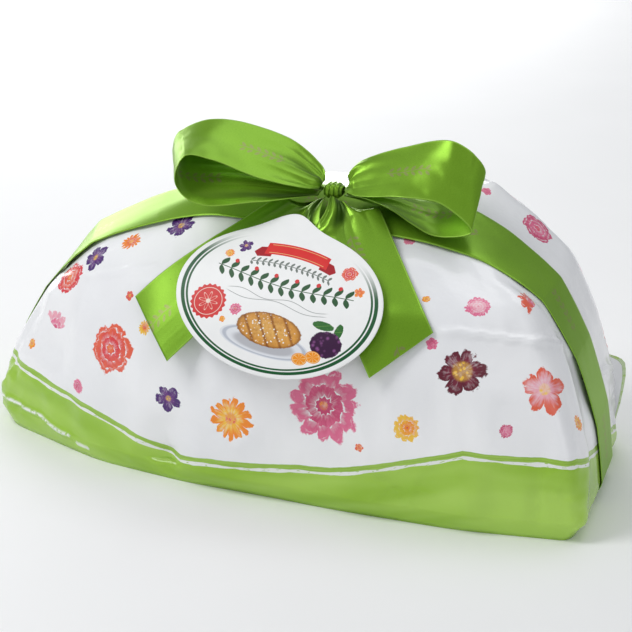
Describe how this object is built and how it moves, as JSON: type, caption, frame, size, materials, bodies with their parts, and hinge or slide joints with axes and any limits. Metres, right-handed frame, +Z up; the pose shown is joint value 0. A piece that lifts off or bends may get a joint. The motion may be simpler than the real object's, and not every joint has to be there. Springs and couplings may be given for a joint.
{
  "type": "gift-wrapped colomba easter bread",
  "caption": "Shut gift pack of a festive sweet loaf: glossy printed film wrap, wide satin ribbon lengthwise, two-loop bow with two tails, and an oval card tag",
  "frame": {"origin": "the centre of the pack's box, on the surface it stands on", "axes": "+X along the pack to the right seen from the front, -Y to the front where the tag hangs, +Z up"},
  "size_m": [0.3752, 0.1932, 0.1943],
  "materials": {
    "film": "glossy white wrapping film printed with loose flowers and a green foot band",
    "satin": "green satin ribbon with a soft sheen",
    "card": "smooth coated white card with a colour print"
  },
  "bodies": {
    "root": {"wrap": "film", "ribbon_band": "satin", "bow_knot": "satin", "bow_loop_left": "satin", "bow_loop_right": "satin", "bow_tail_left": "satin", "bow_tail_right": "satin", "tag": "card"}
  },
  "joints": []
}
